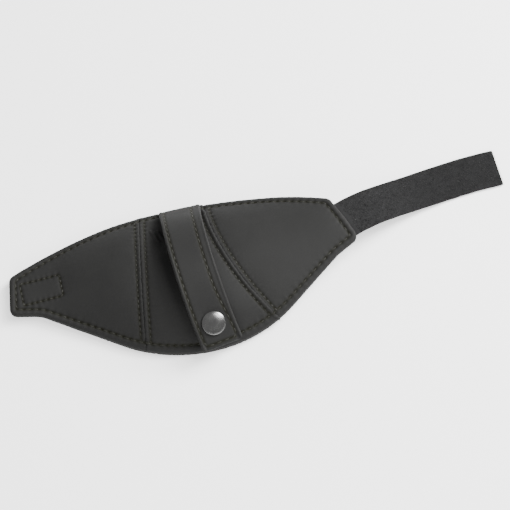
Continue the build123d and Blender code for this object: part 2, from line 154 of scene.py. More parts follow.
ROW_ROOM = band_line(ROW_INSET + 0.45)
SEAM_ROWS = {
    "nose_seam": [beside(NOSE_SEAM, side, ROW_ROOM) for side in SEAM_SIDES],
    "temple_seam": [beside(TEMPLE_SEAM, side, ROW_ROOM) for side in SEAM_SIDES],
}
PATCH_BOX = rounded(
    [(-128.7, 6.3), (-107.3, 6.3), (-107.3, 18.7), (-128.7, 18.7)], [0.8] * 4
)
STITCHED_ROWS = [(EDGE_ROW, EDGE_PITCH), (PATCH_BOX, SEAM_PITCH)]
STITCHED_ROWS += [(row, SEAM_PITCH) for row in SEAM_ROWS["nose_seam"] + SEAM_ROWS["temple_seam"]]

# The edge row stops under the head of the strap
HEAD_LEFT, HEAD_RIGHT, HEAD_FRONT = -49.0, -24.5, 30.0
beside_head = (EDGE_ROW[:, 0] > HEAD_LEFT) & (EDGE_ROW[:, 0] < HEAD_RIGHT)
sewn = ~(beside_head & (EDGE_ROW[:, 1] > HEAD_FRONT))
start = int(np.argmax(~sewn))
OPEN_EDGE_ROW = np.roll(EDGE_ROW[:-1], -start, axis=0)[np.roll(sewn[:-1], -start)]


def distances(points, line):
    """Distance of each point from a line, and how far along the line its foot is."""
    tree = KDTree(len(line))
    for i, (x, y) in enumerate(line):
        tree.insert((x, y, 0), i)
    tree.balance()
    found = [tree.find((x, y, 0)) for x, y in points]
    along = np.concatenate([[0], np.cumsum(np.linalg.norm(np.diff(line, axis=0), axis=1))])
    return np.array([f[2] for f in found]), along[np.array([f[1] for f in found])]


def ramp(value, low, high):
    """Smooth step from 0 to 1."""
    t = np.clip((value - low) / (high - low), 0, 1)
    return t * t * (3 - 2 * t)


def coordinates(mesh):
    """A mesh's points as an array."""
    points = np.empty(len(mesh.vertices) * 3)
    mesh.vertices.foreach_get("co", points)
    return points.reshape(-1, 3)


def normals_of(mesh):
    """A mesh's point normals as an array."""
    found = np.empty(len(mesh.vertices) * 3)
    mesh.vertex_normals.foreach_get("vector", found)
    return found.reshape(-1, 3)


def place(mesh, points):
    """Write points back to a mesh."""
    mesh.vertices.foreach_set("co", np.asarray(points, float).ravel())
    mesh.update()


def linked(name, mesh):
    """A new object in the scene for a mesh."""
    piece = bpy.data.objects.new(name, mesh)
    bpy.context.scene.collection.objects.link(piece)
    return piece


def from_shape(name, shape):
    """A new object from a bmesh, which is used up."""
    mesh = bpy.data.meshes.new(name)
    shape.to_mesh(mesh)
    shape.free()
    return linked(name, mesh)


def evaluated(piece, name):
    """A plain mesh of a piece with its modifiers applied, in a new object."""
    graph = bpy.context.evaluated_depsgraph_get()
    return linked(name, bpy.data.meshes.new_from_object(piece.evaluated_get(graph)))


def drop(piece):
    """Remove a helper object."""
    bpy.data.objects.remove(piece)


def smooth(piece):
    """Shade a piece smoothly."""
    piece.data.polygons.foreach_set("use_smooth", [True] * len(piece.data.polygons))


def merged_copy(names, name):
    """One object with copies of CAD nodes' meshes, their loose triangles joined."""
    shape = bmesh.new()
    for node in names:
        shape.from_mesh(nodes[node].data)
    bmesh.ops.remove_doubles(shape, verts=shape.verts, dist=1e-6)
    return from_shape(name, shape)


def remeshed(names, name, voxel, rounds):
    """CAD shapes as one even closed mesh with softened edges."""
    rough = merged_copy(names, name + "_rough")
    remesh = rough.modifiers.new("even", "REMESH")
    remesh.mode = "VOXEL"
    remesh.voxel_size = voxel
    remesh.adaptivity = 0.0
    soften = rough.modifiers.new("soften", "SMOOTH")
    soften.factor = 0.5
    soften.iterations = rounds
    piece = evaluated(rough, name)
    drop(rough)
    smooth(piece)
    return piece


SHEET_SCALE = 10                        # the sheet is simulated ten times life size
SHEET_FRAMES = 20


def sheet_swell(spacing=2.0, most=0.75):
    """How far the stitched-down skin stands up over its foam, from a cloth simulation.

    One sheet over the whole band is held along every stitched row and pushed up by the foam.
    Gives a function of plan points.
    """
    xs = np.arange(-142, 60, spacing)
    ys = np.arange(-46, 50, spacing)
    grid = np.array([(x, y) for y in ys for x in xs])
    near = np.min([distances(grid, row)[0] for row, _ in STITCHED_ROWS], axis=0)
    free = inside(grid, EDGE_ROW) & (near > 0.8 * spacing)
    mesh = bpy.data.meshes.new("skin_sheet")
    wide = len(xs)
    faces = [
        (j * wide + i, j * wide + i + 1, (j + 1) * wide + i + 1, (j + 1) * wide + i)
        for j in range(len(ys) - 1) for i in range(wide - 1)
    ]
    flat = np.column_stack([grid, np.zeros(len(grid))]) * MM * SHEET_SCALE
    mesh.from_pydata(flat.tolist(), [], faces)
    skin = linked("skin_sheet", mesh)
    held = skin.vertex_groups.new(name="held")
    held.add([int(i) for i in np.flatnonzero(~free)], 1.0, "REPLACE")
    cloth = skin.modifiers.new("cloth", "CLOTH")
    cloth.settings.vertex_group_mass = "held"
    cloth.settings.quality = 6
    cloth.settings.mass = 0.3
    cloth.settings.tension_stiffness = 25
    cloth.settings.compression_stiffness = 25
    cloth.settings.bending_stiffness = 1.5
    cloth.settings.use_pressure = True
    cloth.settings.uniform_pressure_force = 4.0
    cloth.settings.effector_weights.gravity = 0.0
    cloth.point_cache.frame_start = 1
    cloth.point_cache.frame_end = SHEET_FRAMES
    for step in range(1, SHEET_FRAMES + 1):
        bpy.context.scene.frame_set(step)
    graph = bpy.context.evaluated_depsgraph_get()
    done = bpy.data.meshes.new_from_object(skin.evaluated_get(graph))
    lift = coordinates(done)[:, 2] / MM / SHEET_SCALE
    bpy.context.scene.frame_set(1)
    drop(skin)
    lift = np.where(free, np.abs(lift), 0.0)
    lift = most * np.tanh(lift / max(lift.max(), 1e-6) * 1.6) / math.tanh(1.6)
    table = lift.reshape(len(ys), len(xs))

    def eased(share):
        """Straight blend with a little of a smooth one, so the grid's lines don't show."""
        return share * share * (3 - 2 * share) * 0.3 + share * 0.7

    def at(points):
        """Lift at plan points, blended from the four corners round each."""
        column = np.clip((points[:, 0] - xs[0]) / spacing, 0, len(xs) - 1.001)
        row = np.clip((points[:, 1] - ys[0]) / spacing, 0, len(ys) - 1.001)
        i, j = column.astype(int), row.astype(int)
        a, b = eased(column - i), eased(row - j)
        low = table[j, i] * (1 - a) + table[j, i + 1] * a
        high = table[j + 1, i] * (1 - a) + table[j + 1, i + 1] * a
        return low * (1 - b) + high * b

    return at


swell = sheet_swell()
SNAP_SPOT = np.array([-34.44, -29.5])


def bump_at(points, spot, reach):
    """Round bump that is 1 at a spot and fades out over a reach in X and Y."""
    away = (points - np.array(spot)) / np.array(reach)
    return np.exp(-(away**2).sum(axis=1))


def ridge_at(points, first, last, width):
    """Narrow ridge between two plan points."""
    line = even(np.array([first, last], float), 0.4)
    away, along = distances(points, line)
    ends = np.sin(np.pi * np.clip(along / max(along.max(), 1e-6), 0, 1)) ** 0.5
    return np.exp(-(away / width) ** 2) * ends


def hollow(points):
    """How far the whole thickness of the cup is pushed in beside the strap."""
    deep = 3.2 * bump_at(points, (-50.0, 23.0), (8.0, 11.0))
    deep += 1.6 * bump_at(points, (-47.0, 3.0), (8.0, 17.0))
    return deep * ramp(distances(points, EDGE)[0], 2.0, 9.0)


def relief(points):
    """Height of the worked leather over the plain dome, in millimetres."""
    rim_away, _ = distances(points, EDGE)
    height = swell(points)
    near_snap = np.linalg.norm(points - SNAP_SPOT, axis=1)
    height *= ramp(near_snap, 5.0, 14.0)
    dips = np.zeros(len(points))
    for row, pitch in STITCHED_ROWS:
        away, along = distances(points, row)
        pull = 0.34 - 0.16 * np.cos(2 * np.pi * along / pitch)
        dips = np.maximum(dips, pull * np.exp(-(away / 0.85) ** 2))
        pucker = np.cos(2 * np.pi * along / pitch) * np.exp(-((away - 1.6) / 1.2) ** 2)
        height += 0.05 * pucker
    height -= dips
    outside = ~inside(points, EDGE_ROW)
    height += np.where(outside, 0.30 * np.sin(np.pi * np.clip(rim_away / ROW_INSET, 0, 1)), 0.0)

    # The seams are grooves between two turned edges; the cup's edge stands over the temple's
    nose_away, _ = distances(points, NOSE_SEAM)
    height += 0.22 * np.exp(-((nose_away - 0.9) / 0.7) ** 2)
    temple_away, temple_along = distances(points, TEMPLE_SEAM)
    feet = TEMPLE_SEAM[np.clip((temple_along / 0.5).astype(int), 0, len(TEMPLE_SEAM) - 1)]
    cup_side = points[:, 0] < feet[:, 0]
    height += np.where(cup_side, 0.60, -0.10) * np.exp(-((temple_away - 0.7) / 0.75) ** 2)

    # Two small folds of the leather in the hollow beside the head of the strap
    height += 1.35 * ridge_at(points, (-54.9, 31.4), (-51.4, 22.0), 0.7)
    height += 1.15 * ridge_at(points, (-51.6, 30.6), (-48.9, 23.2), 0.6)
    waves = [noise.noise(Vector((x / 26, y / 15, 3.1))) for x, y in points]
    fine = [noise.noise(Vector((x / 9, y / 6, 8.4))) for x, y in points]
    return height + 0.22 * np.array(waves) + 0.05 * np.array(fine)


def closed_up(points):
    """Shift in plan that presses the panels' edges together along the seams."""
    shift = np.zeros_like(points)
    for seam in (NOSE_SEAM, TEMPLE_SEAM):
        away, along = distances(points, seam)
        feet = seam[np.clip((along / 0.5).round().astype(int), 0, len(seam) - 1)]
        towards = (feet - points) / np.maximum(away, 1e-6)[:, None]
        shift += towards * (0.34 * np.exp(-(away / 0.9) ** 2))[:, None]
    # Beside the head of the strap the edges close in on it
    for side, inwards in ((-48.1, 1.0), (-24.9, -1.0)):
        near = np.exp(-((points[:, 0] - side) / 1.3) ** 2) * ramp(points[:, 1], 35.5, 38.5)
        shift[:, 0] += 0.75 * inwards * near * ((points[:, 0] - side) * inwards < 1.5)
    return shift


def row_dust_and_shade(points):
    """Share of thread dust and painted shade at the needle holes on the leather near its stitched
    rows.
    """
    tint = np.zeros(len(points))
    for row, pitch in STITCHED_ROWS:
        away, along = distances(points, row)
        beat = 0.75 - 0.25 * np.cos(2 * np.pi * along / pitch)
        tint = np.maximum(tint, beat * np.exp(-(away / 0.75) ** 2))
    return tint


class Value:
    """A shader socket that takes part in sums."""

    def __init__(self, shader, socket):
        self.shader, self.socket = shader, socket

    def _maths(self, operation, first, second):
        return self.shader.add("ShaderNodeMath", {"operation": operation}, first, second)

    def __add__(self, other):
        return self._maths("ADD", self, other)

    def __radd__(self, other):
        return self._maths("ADD", other, self)

    def __sub__(self, other):
        return self._maths("SUBTRACT", self, other)

    def __rsub__(self, other):
        return self._maths("SUBTRACT", other, self)

    def __mul__(self, other):
        return self._maths("MULTIPLY", self, other)

    def __rmul__(self, other):
        return self._maths("MULTIPLY", other, self)


class Finish:
    """A material under construction: one Principled shader and the nodes that feed it."""

    def __init__(self, name, **plain):
        self.material = bpy.data.materials.new(name)
        self.material.use_nodes = True
        self.tree = self.material.node_tree
        self.shader = self.tree.nodes["Principled BSDF"]
        for socket, value in plain.items():
            self.shader.inputs[socket.replace("_", " ").title()].default_value = value

    def add(self, kind, settings, *inputs, out=0, **named):
        """Add a node; its settings come first, then its sockets' values or links."""
        node = self.tree.nodes.new(kind)
        for key, value in settings.items():
            setattr(node, key, value)
        pairs = list(enumerate(inputs)) + [(k.replace("_", " "), v) for k, v in named.items()]
        for key, value in pairs:
            socket = node.inputs[key]
            if isinstance(value, Value):
                self.tree.links.new(value.socket, socket)
            else:
                socket.default_value = value
        return Value(self, node.outputs[out])

    def feed(self, socket, value):
        """Link a value to the shader."""
        self.tree.links.new(value.socket, self.shader.inputs[socket])

    def place(self, scale=(1, 1, 1)):
        """Object coordinates, scaled."""
        where = self.add("ShaderNodeTexCoord", {}, out=3)
        return self.add("ShaderNodeMapping", {}, Vector=where, Scale=scale)

    def cloud(self, where, scale, detail=3.0, roughness=0.55):
        """Noise between about 0 and 1."""
        return self.add("ShaderNodeTexNoise", {}, Vector=where, Scale=scale, Detail=detail,
                        Roughness=roughness)

    def colours(self, share, first, second):
        """Mix of two colours."""
        mix = self.add("ShaderNodeMix", {"data_type": "RGBA"}, out=2)
        node = mix.socket.node
        self.tree.links.new(share.socket, node.inputs[0])
        node.inputs[6].default_value = (*first, 1)
        node.inputs[7].default_value = (*second, 1)
        return mix

    def relief(self, height, distance, strength=1.0):
        """Bump from a height in the given distance, fed to the shader."""
        bump = self.add("ShaderNodeBump", {}, Strength=strength, Distance=distance,
                        Height=height)
        self.feed("Normal", bump)


def leather(name, dark, light, gloss):
    """Fine-grained, semi-matt dyed leather, darker and greener along its stitched rows from thread
    dust and painted shade at the needle holes.
    """
    finish = Finish(name)
    where = finish.place()
    pores = finish.add("ShaderNodeTexVoronoi", {"feature": "DISTANCE_TO_EDGE"}, Vector=where,
                       Scale=1500.0, out=0)
    creases = finish.cloud(where, 420.0, 4.0, 0.6)
    patches = finish.cloud(where, 38.0, 3.0, 0.5)
    wear = finish.cloud(where, 150.0, 5.0, 0.65)
    share = 0.65 * patches + 0.35 * wear
    dyed = finish.colours(share, dark, light)
    # Towards the stitched rows the colour mixes to a dark olive: thread dust, with painted shade at
    # the needle holes.
    tinted = finish.colours(
        finish.add("ShaderNodeAttribute", {"attribute_name": "row_dust_and_shade"}, out=2),
        dark, (0.0062, 0.0062, 0.0030))
    finish.tree.links.new(dyed.socket, tinted.socket.node.inputs[6])
    finish.feed("Base Color", tinted)
    finish.feed("Roughness", gloss + 0.16 * wear - 0.10 * patches)
    finish.relief(1.4 * pores + 0.5 * creases, 0.00012, 0.5)
    finish.shader.inputs["Specular IOR Level"].default_value = 0.09
    return finish.material


cover_leather = leather("cover_leather", (0.0120, 0.0120, 0.0117), (0.0165, 0.0165, 0.0161), 0.62)


def cover(panel):
    """One panel's cover, worked from its CAD shape."""
    name = f"{panel}_panel_cover"
    piece = remeshed([name], f"{panel}_panel_leather", 0.55 * MM, 7)
    points = coordinates(piece.data)
    facing = normals_of(piece.data)
    lift = relief(points[:, :2] / MM) * MM
    outer = ramp(facing[:, 2], 0.15, 0.6)[:, None]
    moved = points + facing * lift[:, None] * outer
    moved[:, 2] -= hollow(points[:, :2] / MM) * MM
    moved[:, :2] += closed_up(points[:, :2] / MM) * MM
    place(piece.data, moved)
    # Thread dust and painted shade at the needle holes along the stitched rows, on the outer faces
    # only.
    tint = piece.data.attributes.new("row_dust_and_shade", "FLOAT", "POINT")
    shade = row_dust_and_shade(points[:, :2] / MM) * outer[:, 0]
    tint.data.foreach_set("value", shade.astype(np.float32))
    piece.data.materials.clear()
    piece.data.materials.append(cover_leather)
    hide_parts(name)
    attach(piece, "band")
    return piece


covers = [cover(panel) for panel in ("nose", "cup", "temple")]


# ---- Padding ------------------------------------------------------------------------------
# Thin open-cell foam, die-cut a hem's width smaller than each panel and closed in under it.

foam = Finish("padding_foam", roughness=0.95)
cells = foam.add("ShaderNodeTexVoronoi", {"feature": "F1"}, Vector=foam.place(), Scale=1400.0)
foam.feed("Base Color", foam.colours(cells, (0.10, 0.10, 0.105), (0.24, 0.24, 0.25)))
foam.relief(cells, 0.0003, 0.8)
for panel in ("nose", "cup", "temple"):
    pad = remeshed([f"{panel}_padding"], f"{panel}_foam", 0.6 * MM, 2)
    points = coordinates(pad.data)
    points[:, 2] -= hollow(points[:, :2] / MM) * MM
    place(pad.data, points)
    pad.data.materials.clear()
    pad.data.materials.append(foam.material)
    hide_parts(f"{panel}_padding")
    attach(pad, "band")


# ---- Lining -------------------------------------------------------------------------------
# One piece of soft brushed cloth against the face, pulled down by every row of stitches.

lining = remeshed(["face_lining"], "brushed_lining", 0.5 * MM, 4)
points = coordinates(lining.data)
facing = normals_of(lining.data)
plan = points[:, :2] / MM
pulled = np.zeros(len(points))
for row, pitch in STITCHED_ROWS:
    away, along = distances(plan, row)
    depth = 0.24 + 0.06 * np.cos(2 * np.pi * along / pitch)
    pulled = np.maximum(pulled, depth * np.exp(-(away / 1.0) ** 2))
under = ramp(-facing[:, 2], 0.15, 0.6)
points = points - facing * (pulled * under * MM)[:, None]
points[:, 2] -= hollow(plan) * MM
place(lining.data, points)

suede = Finish("lining_suede", roughness=0.92)
where = suede.place((1, 1.6, 1))
nap = suede.cloud(where, 900.0, 5.0, 0.7)
brushed = suede.cloud(where, 60.0, 4.0, 0.6)
suede.feed("Base Color", suede.colours(0.5 * nap + 0.5 * brushed,
                                       (0.022, 0.022, 0.024), (0.060, 0.060, 0.064)))
suede.relief(nap, 0.00025, 0.7)
suede.shader.inputs["Sheen Weight"].default_value = 0.35
suede.shader.inputs["Sheen Roughness"].default_value = 0.45
lining.data.materials.clear()
lining.data.materials.append(suede.material)
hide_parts("face_lining")
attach(lining, "band")


# ---- Stitching ----------------------------------------------------------------------------
# Bonded polyester lockstitch, a shade darker and greener than the leather. Each stitch is a
# short length of thread that dips into the leather at both of its ends.

thread = Finish("thread", roughness=0.55)
twist = thread.add("ShaderNodeTexWave", {"bands_direction": "DIAGONAL"}, Vector=thread.place(),
                   Scale=900.0, Distortion=1.5)
thread.feed("Base Color", thread.colours(twist, (0.0050, 0.0050, 0.0032),
                                         (0.0150, 0.0150, 0.0100)))
thread.shader.inputs["Specular IOR Level"].default_value = 0.30
thread.relief(twist, 0.00008, 0.6)


def socket_id(tree, name):
    """Identifier of a node group's input."""
    return next(i.identifier for i in tree.interface.items_tree if i.name == name)


class Tree:
    """A geometry nodes tree under construction, with named inputs for its sizes."""

    def __init__(self, name, sizes):
        self.group = bpy.data.node_groups.new(name, "GeometryNodeTree")
        sockets = self.group.interface
        sockets.new_socket("Geometry", in_out="INPUT", socket_type="NodeSocketGeometry")
        for label, value in sizes.items():
            kind = "NodeSocketInt" if isinstance(value, int) else "NodeSocketFloat"
            made = sockets.new_socket(label, in_out="INPUT", socket_type=kind)
            made.default_value = value
        sockets.new_socket("Material", in_out="INPUT", socket_type="NodeSocketMaterial")
        sockets.new_socket("Geometry", in_out="OUTPUT", socket_type="NodeSocketGeometry")
        self.given = self.group.nodes.new("NodeGroupInput").outputs

    def add(self, kind, settings=None, numbered=None, **named):
        """Add a node: its settings, then values or links for its sockets; gives its outputs."""
        node = self.group.nodes.new(kind)
        for key, value in (settings or {}).items():
            setattr(node, key, value)
        sockets = dict(numbered or {})
        sockets.update((key.replace("_", " "), value) for key, value in named.items())
        for key, value in sockets.items():
            if isinstance(value, bpy.types.NodeSocket):
                self.group.links.new(value, node.inputs[key])
            else:
                node.inputs[key].default_value = value
        return node.outputs

    def finished(self, instances):
        """The tree's end: its instances made real and given their material."""
        real = self.add("GeometryNodeRealizeInstances", Geometry=instances)
        coat = self.add("GeometryNodeSetMaterial", Geometry=real["Geometry"],
                        Material=self.given["Material"])
        self.add("NodeGroupOutput", Geometry=coat["Geometry"])
        return self.group


def stitch_tree():
    """Stitches laid along a line, whose up attribute is the normal of the leather."""
    tree = Tree("stitched_row", {"Pitch": 0.004, "Length": 0.003, "Width": 0.0006,
                                 "Height": 0.0005, "Slant": 0.0})
    given = tree.given
    curve = tree.add("GeometryNodeMeshToCurve", Mesh=given["Geometry"])
    spots = tree.add("GeometryNodeResampleCurve", {"mode": "LENGTH"}, Curve=curve["Curve"],
                     Length=given["Pitch"])
    bead = tree.add("GeometryNodeMeshUVSphere", Segments=8, Rings=6, Radius=0.5)
    size = tree.add("ShaderNodeCombineXYZ", X=given["Length"], Y=given["Width"],
                    Z=given["Height"])
    tangent = tree.add("GeometryNodeInputTangent")
    upward = tree.add("GeometryNodeInputNamedAttribute", {"data_type": "FLOAT_VECTOR"},
                      Name="up")
    ahead = tree.add("FunctionNodeAlignRotationToVector", {"axis": "X"},
                     Vector=tangent["Tangent"])
    level = tree.add("FunctionNodeAlignRotationToVector", {"axis": "Z", "pivot_axis": "X"},
                     Rotation=ahead["Rotation"], Vector=upward["Attribute"])
    slant = tree.add("ShaderNodeCombineXYZ", Z=given["Slant"])
    turn = tree.add("FunctionNodeEulerToRotation", Euler=slant["Vector"])
    both = tree.add("FunctionNodeRotateRotation", {"rotation_space": "LOCAL"},
                    Rotation=level["Rotation"], Rotate_By=turn["Rotation"])
    laid = tree.add("GeometryNodeInstanceOnPoints", Points=spots["Curve"],
                    Instance=bead["Mesh"], Rotation=both["Rotation"], Scale=size["Vector"])
    return tree.finished(laid["Instances"])


STITCHES = stitch_tree()


def surface_of(pieces):
    """Search tree over the faces of several pieces."""
    points, faces = [], []
    for piece in pieces:
        first = len(points)
        points += [v.co.copy() for v in piece.data.vertices]
        faces += [[first + i for i in p.vertices] for p in piece.data.polygons]
    return BVHTree.FromPolygons(points, faces)


def laid_on(line, surface, sink):
    """Points of a plan line dropped onto a surface from above, with the normals there."""
    spots, ups = [], []
    for x, y in line:
        spot, up, _, _ = surface.ray_cast(Vector((x * MM, y * MM, 0.08)), Vector((0, 0, -1)))
        if spot is None:
            continue
        if up.z < 0:
            up = -up
        spots.append(spot - up * sink)
        ups.append(up)
    soft = np.array(ups)
    for _ in range(6):
        soft[1:-1] = (soft[:-2] + soft[1:-1] * 2 + soft[2:]) / 4
    return np.array(spots), soft


def stitch_rows(name, rows, pitch, length, width, finish, slant=0.0, height=0.5):
    """Stitches along rows of (points, normals), as one plain mesh."""
    spots, ups, edges = [], [], []
    for points_of, ups_of in rows:
        first = len(spots)
        spots += [tuple(p) for p in points_of]
        ups += [tuple(u) for u in ups_of]
        edges += [(first + i, first + i + 1) for i in range(len(points_of) - 1)]
    mesh = bpy.data.meshes.new(name + "_line")
    mesh.from_pydata(spots, edges, [])
    attribute = mesh.attributes.new("up", "FLOAT_VECTOR", "POINT")
    attribute.data.foreach_set("vector", np.array(ups, float).ravel())
    line = linked(name + "_line", mesh)
    modifier = line.modifiers.new("stitches", "NODES")
    modifier.node_group = STITCHES
    sizes = {"Pitch": pitch * MM, "Length": length * MM, "Width": width * MM,
             "Height": height * MM, "Slant": slant, "Material": finish}
    for key, value in sizes.items():
        modifier[socket_id(STITCHES, key)] = value
    piece = evaluated(line, name)
    drop(line)
    smooth(piece)
    return piece


top_surface = surface_of(covers)
ROW_SINK = 0.0001
ANCHOR_ROW = even(np.array([(-45.5, 36.1), (-27.5, 36.1)]), 0.5)
row_sets = {
    "edge_stitching": ([OPEN_EDGE_ROW], EDGE_PITCH, 2.9, 0.7),
    "nose_seam_stitching": (SEAM_ROWS["nose_seam"], SEAM_PITCH, 2.1, 0.62),
    "temple_seam_stitching": (SEAM_ROWS["temple_seam"], SEAM_PITCH, 2.1, 0.62),
    "hook_patch_stitching": ([PATCH_BOX], SEAM_PITCH, 2.1, 0.62),
    "strap_anchor_stitching": ([ANCHOR_ROW], SEAM_PITCH, 2.2, 0.62),
}
for node, (lines, pitch, length, width) in row_sets.items():
    rows = [laid_on(line, top_surface, ROW_SINK) for line in lines]
    stitches = stitch_rows(node.replace("stitching", "stitches"), rows, pitch, length, width,
                           thread.material, slant=0.05)
    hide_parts(node)
    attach(stitches, "band")


# ---- Snap strap ---------------------------------------------------------------------------
# A double strap, sewn into the top edge and folded forward over it. A leather face is glued
# to a thinner backing and sewn round; it arches over the cup and snaps shut near its tail.

BOW_CENTRE, BOW = (206.0, 12.0), 244.0
STRAP_STEP = 0.6
UNDERSIDE = rounded(
    [(35.0, 7.68), (39.8, 4.35), (39.8, 7.293), (8.138, 33.861), (-42.488, 9.166)],
    [0.0, 0.3, 5.0, 50.28, 0.0], closed=False, step=STRAP_STEP)
STRAP_LONG = (len(UNDERSIDE) - 1) * STRAP_STEP
STRAP_HALF, BACKING_HALF = 11.0, 10.3   # half widths
HEAD_FLARE = 0.45                       # how much wider the head is, each side
BACKING_TOP, FACE_LOW, FACE_HIGH = 0.92, 0.93, 2.1


def strap_place(along, across, height):
    """Place on the strap: how far from its hem, across it, and up from its underside."""
    marks = np.arange(len(UNDERSIDE)) * STRAP_STEP
    slope = np.gradient(UNDERSIDE, axis=0)
    slope /= np.linalg.norm(slope, axis=1)[:, None]
    along = along + 0.11 * across * ramp(along, STRAP_LONG - 25, STRAP_LONG)
    y0 = np.interp(along, marks, UNDERSIDE[:, 0])
    tilt = -np.arcsin((y0 - BOW_CENTRE[1]) / BOW)
    spot = along - across * np.sin(tilt) * 1.1 * ramp(along, 6, 14)
    sy, sz = np.interp(spot, marks, slope[:, 0]), np.interp(spot, marks, slope[:, 1])
    size = np.hypot(sy, sz)
    sy, sz = sy / size, sz / size
    past = np.maximum(spot - marks[-1], 0) + np.minimum(spot, 0)
    y = np.interp(spot, marks, UNDERSIDE[:, 0]) + past * sy
    z = np.interp(spot, marks, UNDERSIDE[:, 1]) + past * sz
    x = BOW_CENTRE[0] - np.sqrt(BOW**2 - (y0 - BOW_CENTRE[1]) ** 2) + across * np.cos(tilt)
    return np.stack([x, y + height * sz, z - height * sy], 1)


def narrowed(wide, bend):
    """Half width of the strap along it, with rounded corners at the tail."""
    def at(along):
        into = min(max(bend - (STRAP_LONG - along), 0.0), bend)
        head = HEAD_FLARE * (1 - float(ramp(along, 8.0, 24.0)))
        return wide + head - (bend - math.sqrt(bend**2 - into**2))
    return at


def strip(name, stations, wide, low, high, place_at):
    """Closed strip: low and high give the heights of its sides at places along and across."""
    top_count, low_count = 65, 15
    sweep = np.linspace(-np.pi / 2, np.pi / 2, top_count)
    top = 0.3 * np.sin(sweep) + 0.7 * np.linspace(-1, 1, top_count)
    ring = np.concatenate([top, np.linspace(1, -1, low_count)[1:-1]])
    sides = len(ring)
    upper = np.arange(sides) < top_count
    rows = []
    for station in stations:
        across, along = ring * wide(station), np.full(sides, station)
        level = np.where(upper, high(along, across), low(along, across))
        rows.append(place_at(along, across, level))
    faces = []
    for k in range(len(stations) - 1):
        first, second = k * sides, (k + 1) * sides
        faces += [(first + i, first + (i + 1) % sides, second + (i + 1) % sides, second + i)
                  for i in range(sides)]
    last = (len(stations) - 1) * sides
    faces.append(tuple(range(sides - 1, -1, -1)))
    faces.append(tuple(range(last, last + sides)))
    mesh = bpy.data.meshes.new(name)
    mesh.from_pydata((np.concatenate(rows) * MM).tolist(), [], faces)
    shape = bmesh.new()
    shape.from_mesh(mesh)
    bmesh.ops.triangulate(shape, faces=[f for f in shape.faces if len(f.verts) > 4])
    bmesh.ops.recalc_face_normals(shape, faces=shape.faces)
    shape.to_mesh(mesh)
    shape.free()
    piece = linked(name, mesh)
    smooth(piece)
    return piece


def edge_fall(across, wide, bend):
    """How far a rounded edge has fallen at a place across a strip of a half width."""
    into = np.clip((np.abs(across) - (wide - bend)) / bend, 0, 1)
    return bend * (1 - np.sqrt(1 - into**2))


STRAP_ROW = 2.3                         # stitched row from the strap's edge
RIGHT_ROW, RIGHT_DRIFT = 2.6, 2.2       # the right row at the tail, and its drift inwards
FACE_ROLL = 0.75                        # radius of the face's rolled edges


def right_row(along):
    """Half-width place of the right-hand row, further in over the arch than at the tail."""
    return STRAP_HALF - RIGHT_ROW - RIGHT_DRIFT * ramp(STRAP_LONG - along, 6.0, 34.0)


def off_row(along, across):
    """Distance of a spot on the strap from the nearer of its two side rows."""
    left = np.abs(across + STRAP_HALF - STRAP_ROW)
    return np.minimum(left, np.abs(across - right_row(along)))


def face_top(along, across):
    """Upper side of the strap's face: rolled edges, sunk rows, slack near the snap."""
    side = STRAP_HALF + HEAD_FLARE * (1 - ramp(along, 8.0, 24.0))
    height = FACE_HIGH - edge_fall(across * STRAP_HALF / side, STRAP_HALF, FACE_ROLL)
    height += 0.12 * (1 - (across / STRAP_HALF) ** 2)
    sunk = 0.26 - 0.10 * np.cos(2 * np.pi * along / EDGE_PITCH)
    height -= sunk * np.exp(-(off_row(along, across) / 0.8) ** 2)
    height += 0.20 * np.exp(-((STRAP_HALF - np.abs(across) - 0.9) / 0.6) ** 2)
    tail = STRAP_LONG - along
    tail_row = np.exp(-((tail - STRAP_ROW) / 0.8) ** 2)
    height -= 0.28 * tail_row * (np.abs(across) < STRAP_HALF - 1.6)
    height -= edge_fall(np.maximum(FACE_ROLL - tail, 0), FACE_ROLL, FACE_ROLL)
    height -= 0.22 * np.exp(-(((np.hypot(tail - 12.5, across)) - 6.6) / 1.4) ** 2)
    ripple = [noise.noise(Vector((a / 14, b / 9, 5.5))) for a, b in zip(along, across)]
    return height + 0.10 * np.array(ripple) * ramp(along, 8, 20)


def face_low(along, across):
    """Glued side of the face, its edges eased."""
    return FACE_LOW + 0.5 * edge_fall(across, STRAP_HALF, 0.3)


def backing_top(along, across):
    """Glued side of the backing."""
    return np.full(len(across), BACKING_TOP)


def backing_low(along, across):
    """Underside of the backing, its edges eased."""
    return 0.6 * edge_fall(across, BACKING_HALF, 0.4)


def fold_top(along, across):
    """Upper side of the fold, skived thin where it goes into the hem."""
    return face_top(along, across) * (0.62 + 0.38 * ramp(along, 3.0, 6.0))


def fold_low(along, across):
    """Inner side of the fold."""
    return 0.3 * edge_fall(across, STRAP_HALF, 0.4)


strap_leather = leather("strap_leather", (0.0125, 0.0125, 0.0122), (0.0170, 0.0170, 0.0166),
                        0.60)
BEND_END = 8.2                          # past the fold's hinge, along the strap
bend_stations = np.arange(0, BEND_END + 0.01, 0.35)
# Closer stations where the tail's corners turn
tail_stations = STRAP_LONG - np.array([3, 2.6, 2.2, 1.8, 1.4, 1.0, 0.7, 0.45, 0.25, 0.1, 0.0])
long_stations = np.concatenate([np.arange(BEND_END, STRAP_LONG - 3, 0.6), tail_stations])
face = strip("strap_face", long_stations, narrowed(STRAP_HALF, 2.5), face_low, face_top,
             strap_place)
backing = strip("strap_backing", long_stations, narrowed(BACKING_HALF, 2.3), backing_low,
                backing_top, strap_place)
fold = strip("strap_fold", bend_stations, narrowed(STRAP_HALF, 2.5), fold_low, fold_top,
             strap_place)
for piece, node in ((face, "snap_strap_face"), (backing, "snap_strap_backing"),
                    (fold, "snap_strap_root")):
    piece.data.materials.append(strap_leather)
    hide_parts(node)
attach(face, "snap_strap")
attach(backing, "snap_strap")
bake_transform(fold)


